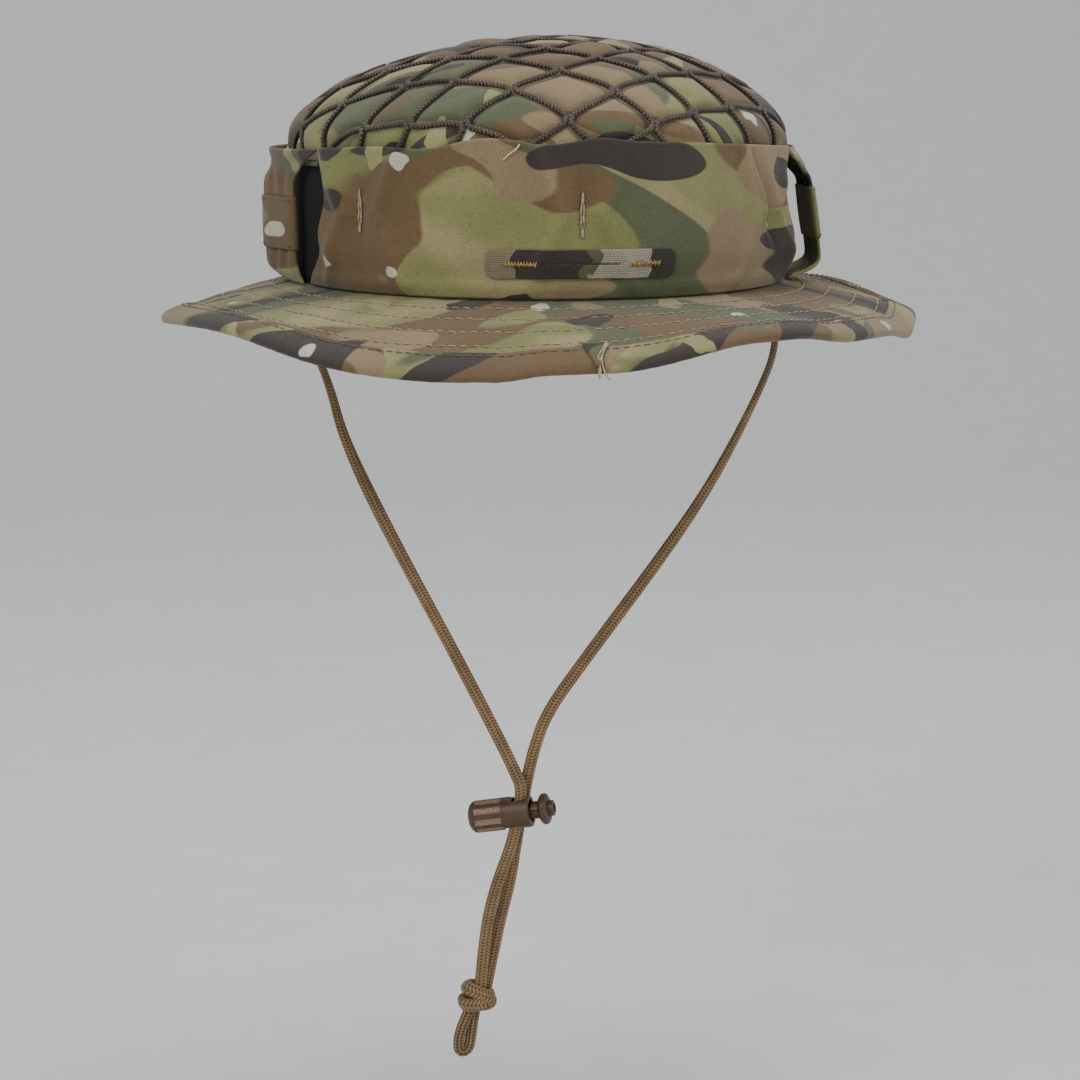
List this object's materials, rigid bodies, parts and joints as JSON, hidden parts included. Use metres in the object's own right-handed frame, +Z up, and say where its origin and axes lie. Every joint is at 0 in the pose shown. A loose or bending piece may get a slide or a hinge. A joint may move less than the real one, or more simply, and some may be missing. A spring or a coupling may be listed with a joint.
{
  "type": "boonie hat",
  "caption": "Wide-brimmed soft camouflage hat with a corded net over the crown, a slit outer band with side loops, and a chin cord with a spring cord lock.",
  "frame": {"origin": "centre of the head opening, at the level of the seam between crown and brim", "axes": "+Z up through the crown, -Y towards the front of the hat, +X to the right in a view of its front"},
  "size_m": [0.2728, 0.3008, 0.3755],
  "materials": {
    "camo_cloth": "ripstop camouflage cloth",
    "lining_cloth": "plain tan cloth",
    "vent_mesh": "black open mesh",
    "net_cord": "knitted cord net",
    "camo_webbing": "woven webbing",
    "binding_tape": "folded bias tape",
    "tan_thread": "sewing thread",
    "mustard_thread": "sewing thread",
    "coyote_cord": "tubular braid",
    "brown_plastic": "moulded, satin",
    "spring_steel": "drawn wire"
  },
  "bodies": {
    "hat": {"sweatband": "lining_cloth", "crown_wall_front": "camo_cloth", "crown_wall_rear": "camo_cloth", "side_vent_left": "vent_mesh", "side_vent_right": "vent_mesh", "crown_top": "camo_cloth", "crown_net": "net_cord", "front_band": "camo_cloth", "rear_band": "camo_cloth", "front_band_tacks": "tan_thread", "rear_band_tacks": "tan_thread", "side_loop_left": "camo_cloth", "side_loop_right": "camo_cloth", "front_tab": "camo_webbing", "tab_bartacks": "mustard_thread", "brim_upper": "camo_cloth", "brim_interlining": "lining_cloth", "brim_lower": "camo_cloth", "brim_binding": "binding_tape", "cord_anchor_left": "camo_webbing", "cord_anchor_right": "camo_webbing", "chin_cord_left": "coyote_cord", "chin_cord_right": "coyote_cord", "cord_knot": "coyote_cord", "cord_tail_loop": "coyote_cord"},
    "cord_lock": {"cord_lock_barrel": "brown_plastic", "cord_lock_spring": "spring_steel"},
    "plunger": {"cord_lock_plunger": "brown_plastic"},
    "keeper_left": {"keeper_left": "camo_cloth"},
    "keeper_right": {"keeper_right": "camo_cloth"}
  },
  "joints": [
    {"name": "lock_slide", "type": "slide", "parent": "hat", "child": "cord_lock", "axis": [-0.1908, 0, -0.9816], "range_m": [0, 0.054]},
    {"name": "plunger_press", "type": "slide", "parent": "cord_lock", "child": "plunger", "axis": [-0.9254, 0.3368, -0.1736], "range_m": [0, 0.002], "stiffness_N_per_m": 800, "springref_m": -0.004, "deforming": ["cord_lock_spring"]},
    {"name": "keeper_left_slide", "type": "slide", "parent": "hat", "child": "keeper_left", "axis": [-0.02, 0, 0.9998], "range_m": [-0.004, 0.005]},
    {"name": "keeper_right_slide", "type": "slide", "parent": "hat", "child": "keeper_right", "axis": [-0.1451, 0, 0.9894], "range_m": [-0.006, 0.002]}
  ]
}
